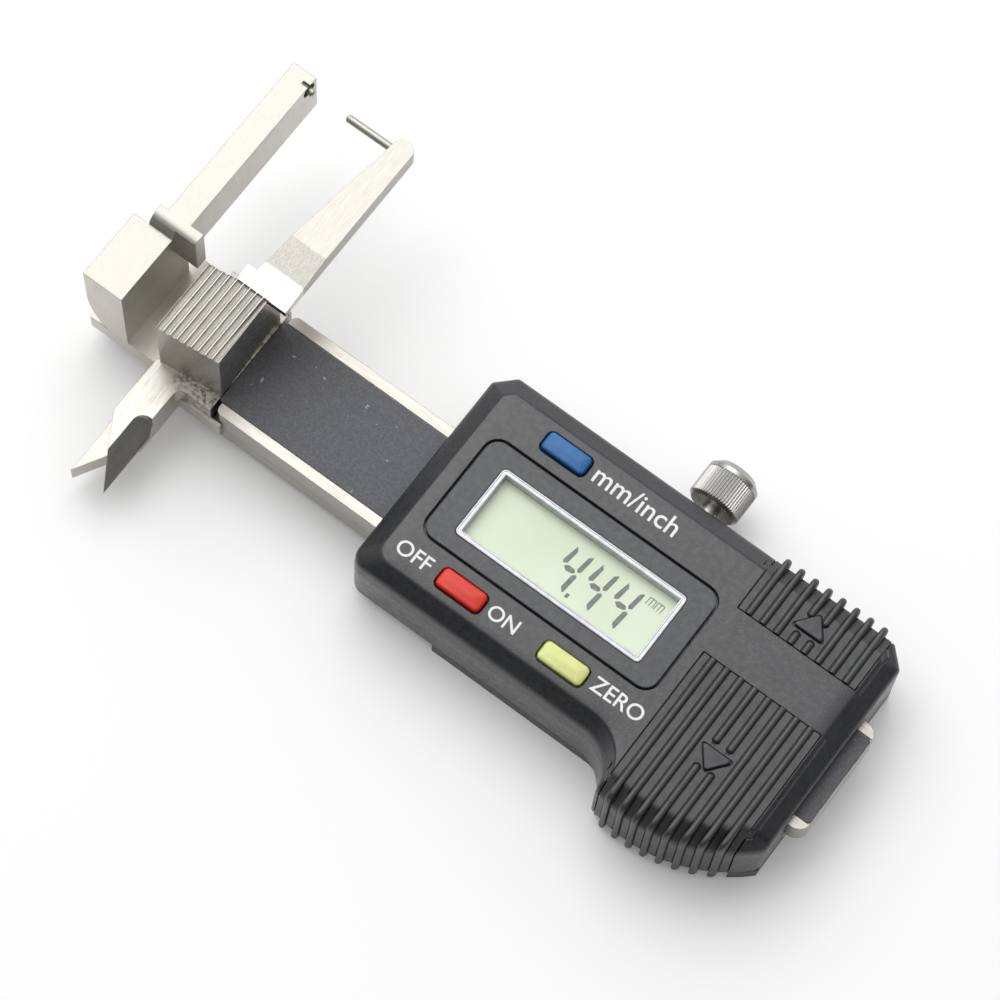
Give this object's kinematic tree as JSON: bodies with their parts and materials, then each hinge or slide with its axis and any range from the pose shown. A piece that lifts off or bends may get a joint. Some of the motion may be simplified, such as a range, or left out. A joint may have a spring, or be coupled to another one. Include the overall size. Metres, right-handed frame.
{
  "type": "gem gauge",
  "caption": "Small digital gem gauge: sliding beam with pointed blades, pin arms, thumb blocks, display, coloured buttons, ribbed covers and a lock screw.",
  "frame": {"origin": "middle of the bounding box, on the surface the gauge lies on", "axes": "+X along the beam from the jaws to the tail, +Y towards the pin arms, +Z out of the display"},
  "size_m": [0.0952, 0.0476, 0.0188],
  "materials": {
    "case_plastic": "satin moulded",
    "back_plastic": "satin moulded",
    "ground_steel": "ground",
    "frame_steel": "milled",
    "gib_brass": "satin",
    "screw_steel": "plain",
    "jaw_steel": "ground and polished",
    "fixed_block_steel": "polished",
    "pin_steel": "polished",
    "rivet_steel": "ground flush",
    "beam_steel": "ground",
    "label_slate": "speckled",
    "blade_steel": "ground and polished",
    "moving_block_steel": "polished, ridged top",
    "knob_steel": "knurled",
    "board_green": "solder mask",
    "connector_rubber": "layered rubber",
    "display_green": "pale display",
    "bezel_white": "painted rim",
    "clear_window": "clear",
    "panel_plastic": "fine texture",
    "blue_button": "satin",
    "red_button": "satin",
    "yellow_button": "satin",
    "tray_plastic": "moulded",
    "cell_steel": "plated",
    "contact_brass": "plated",
    "cover_plastic": "ribbed",
    "port_plastic": "moulded",
    "port_cover_plastic": "ribbed",
    "case_screw_steel": "black oxide"
  },
  "bodies": {
    "case": {"front_cover": "case_plastic", "rear_cover": "back_plastic", "guide_plate": "ground_steel", "slide_frame": "frame_steel", "gib_strip": "gib_brass", "gib_screws": "screw_steel", "fixed_jaw_plate": "jaw_steel", "fixed_thumb_block": "fixed_block_steel", "fixed_pin": "pin_steel", "plate_rivets": "rivet_steel", "lock_bush": "gib_brass", "circuit_board": "board_green", "button_switches": "screw_steel", "lcd_connectors": "connector_rubber", "lcd_glass": "display_green", "lcd_bezel": "bezel_white", "display_window": "clear_window", "display_panel": "panel_plastic", "battery_tray": "tray_plastic", "coin_cell": "cell_steel", "contact_minus": "contact_brass", "contact_plus": "contact_brass", "data_port": "port_plastic", "case_screws": "case_screw_steel"},
    "sliding_beam": {"beam": "beam_steel", "scale_label": "label_slate", "moving_blade_plate": "blade_steel", "moving_thumb_block": "moving_block_steel", "moving_pin": "pin_steel", "foot_rivets": "rivet_steel", "stop_pin": "screw_steel"},
    "mm_inch": {"mm_inch_button": "blue_button"},
    "power": {"power_button": "red_button"},
    "zero": {"zero_button": "yellow_button"},
    "lock": {"lock_screw": "knob_steel"},
    "battery_door": {"battery_cover": "cover_plastic"},
    "port_door": {"data_port_cover": "port_cover_plastic"}
  },
  "joints": [
    {"name": "beam_slide", "type": "slide", "parent": "case", "child": "sliding_beam", "axis": [1, 0, 0], "range_m": [-0.00444, 0.02056]},
    {"name": "mm_inch_press", "type": "slide", "parent": "case", "child": "mm_inch", "axis": [0, 0, -1], "range_m": [0, 0.00035], "stiffness_N_per_m": 900},
    {"name": "power_press", "type": "slide", "parent": "case", "child": "power", "axis": [0, 0, -1], "range_m": [0, 0.00035], "stiffness_N_per_m": 900},
    {"name": "zero_press", "type": "slide", "parent": "case", "child": "zero", "axis": [0, 0, -1], "range_m": [0, 0.00035], "stiffness_N_per_m": 900},
    {"name": "lock_turn", "type": "hinge", "parent": "case", "child": "lock", "pos_m": [0.01897, 0.01717, 0.00577], "axis": [0, 1, 0], "range_deg": [-180, 180]},
    {"name": "battery_door_slide", "type": "slide", "parent": "case", "child": "battery_door", "axis": [0, -1, 0], "range_m": [0, 0.012]},
    {"name": "port_door_slide", "type": "slide", "parent": "case", "child": "port_door", "axis": [0, 1, 0], "range_m": [0, 0.007]}
  ]
}
